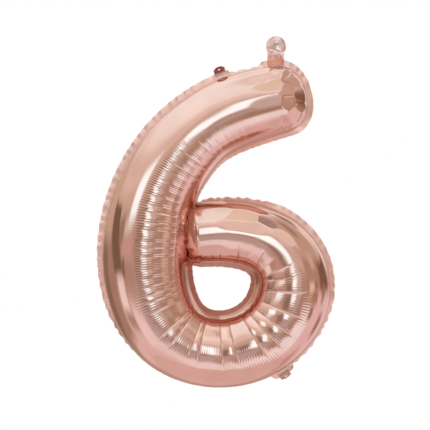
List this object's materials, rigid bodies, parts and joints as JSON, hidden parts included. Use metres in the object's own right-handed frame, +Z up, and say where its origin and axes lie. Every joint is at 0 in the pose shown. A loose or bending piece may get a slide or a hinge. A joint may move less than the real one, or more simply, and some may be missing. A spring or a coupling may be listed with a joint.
{
  "type": "foil number balloon",
  "caption": "Inflated foil balloon shaped as the numeral 6, welded from two metallic sheets, with a fill neck, an inner flap valve and folding hang tabs.",
  "frame": {"origin": "centre of the top hang tab's hole, where the balloon is hung", "axes": "+Z up along the numeral's height, +X to the reader's right, -Y towards the reader; the numeral stands in the XZ plane and its welded seam lies at y = +8.66 mm"},
  "size_m": [0.5009, 0.1759, 0.7432],
  "materials": {
    "front_foil": "mirror-bright rose gold metallised film",
    "rear_foil": "mirror-bright rose gold metallised film",
    "neck_foil": "crinkled rose gold metallised film",
    "tab_foil": "crinkled rose gold metallised film",
    "valve_film": "clear thin plastic film"
  },
  "bodies": {
    "balloon": {"front_panel": "front_foil", "rear_panel": "rear_foil"},
    "neck": {"neck_front_film": "neck_foil", "neck_rear_film": "neck_foil", "valve_inlet_front_film": "valve_film", "valve_inlet_rear_film": "valve_film"},
    "valve_front": {"valve_front_flap": "valve_film"},
    "valve_rear": {"valve_rear_flap": "valve_film"},
    "top_tab": {"top_tab_front_film": "tab_foil", "top_tab_rear_film": "tab_foil"},
    "lower_tab": {"lower_tab_front_film": "tab_foil", "lower_tab_rear_film": "tab_foil"}
  },
  "joints": [
    {"name": "neck_fold", "type": "hinge", "parent": "balloon", "child": "neck", "pos_m": [0.11811, 0.00866, 0.02203], "axis": [1, 0, 0], "range_deg": [-125, 50]},
    {"name": "top_tab_fold", "type": "hinge", "parent": "balloon", "child": "top_tab", "pos_m": [0.00179, 0.00866, -0.00467], "axis": [0.9334, 0, 0.3589], "range_deg": [-160, 40]},
    {"name": "lower_tab_fold", "type": "hinge", "parent": "balloon", "child": "lower_tab", "pos_m": [0.13759, 0.00866, -0.63648], "axis": [-0.8456, 0, -0.5338], "range_deg": [-40, 160]},
    {"name": "valve_front_open", "type": "hinge", "parent": "balloon", "child": "valve_front", "pos_m": [0.11811, 0.00821, 0.00403], "axis": [-1, 0, 0], "range_deg": [0, 8]},
    {"name": "valve_rear_open", "type": "hinge", "parent": "balloon", "child": "valve_rear", "pos_m": [0.11811, 0.00911, 0.00403], "axis": [-1, 0, 0], "range_deg": [-8, 0]}
  ],
  "couplings": [
    {"joint": "valve_rear_open", "follows": "valve_front_open", "ratio": -1}
  ]
}
